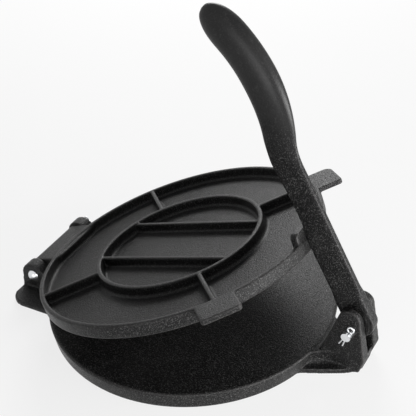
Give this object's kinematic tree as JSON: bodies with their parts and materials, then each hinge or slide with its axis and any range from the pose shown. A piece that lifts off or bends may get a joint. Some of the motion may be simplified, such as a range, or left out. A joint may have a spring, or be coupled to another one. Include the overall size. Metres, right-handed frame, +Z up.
{
  "type": "tortilla press",
  "caption": "Cast iron tortilla press: round base, ribbed upper plate hinged to it and standing partly open, and a curved lever handle on a clevis",
  "frame": {"origin": "on the supporting surface, under the middle of the round base", "axes": "+X from the plate hinge to the handle clevis, +Y along the hinge pin, +Z up"},
  "size_m": [0.3245, 0.2524, 0.2932],
  "materials": {
    "cast_iron": "satin, black seasoned, fine sand-cast grain",
    "zinc_steel": "bright zinc"
  },
  "bodies": {
    "base": {"base_plate": "cast_iron", "hinge_pin": "zinc_steel", "pivot_pin": "zinc_steel", "cotter_pins": "zinc_steel"},
    "lid": {"upper_plate": "cast_iron"},
    "lever": {"handle": "cast_iron"}
  },
  "joints": [
    {"name": "plate_hinge", "type": "hinge", "parent": "base", "child": "lid", "pos_m": [-0.1426, 0, 0.0175], "axis": [0, -1, 0], "range_deg": [-17.9, 87]},
    {"name": "handle_pivot", "type": "hinge", "parent": "base", "child": "lever", "pos_m": [0.1524, 0, 0.0405], "axis": [0, 1, 0], "range_deg": [0, 115]}
  ]
}
